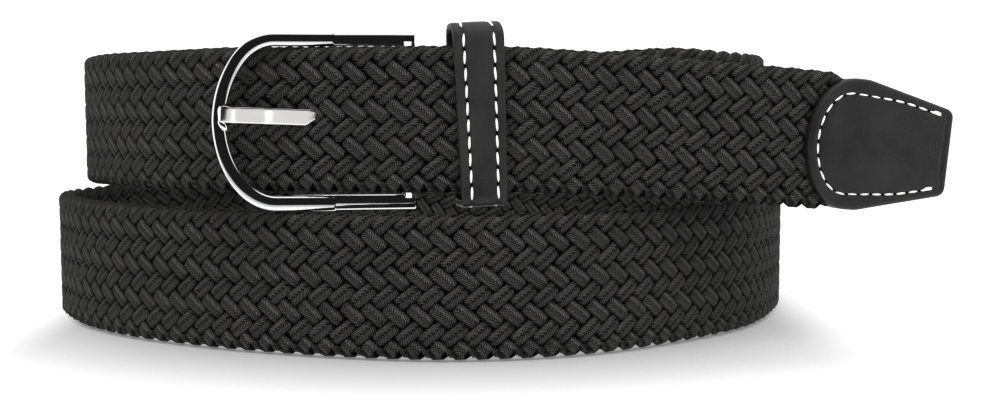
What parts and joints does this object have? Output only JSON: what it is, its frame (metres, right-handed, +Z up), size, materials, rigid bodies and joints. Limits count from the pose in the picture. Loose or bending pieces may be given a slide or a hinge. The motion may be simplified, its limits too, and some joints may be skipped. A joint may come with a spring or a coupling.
{
  "type": "braided stretch belt",
  "caption": "Charcoal braided stretch belt, fastened and stood on edge as a coil of two turns, with a chrome prong buckle, leather keeper and leather tip.",
  "frame": {"origin": "on the floor, under the middle of the belt's bounding box", "axes": "+Z up; the buckle faces -Y; the free tip points to +X"},
  "size_m": [0.2442, 0.1532, 0.0787],
  "materials": {
    "charcoal_braid": "matte braided elastic cord, knit texture",
    "polished_chrome": "polished",
    "black_leather": "smooth, low sheen, white stitching"
  },
  "bodies": {
    "root": {"braided_strap": "charcoal_braid", "buckle_frame": "polished_chrome", "buckle_prong": "polished_chrome", "buckle_tab": "black_leather", "keeper_loop": "black_leather", "tip_cap": "black_leather"}
  },
  "joints": []
}
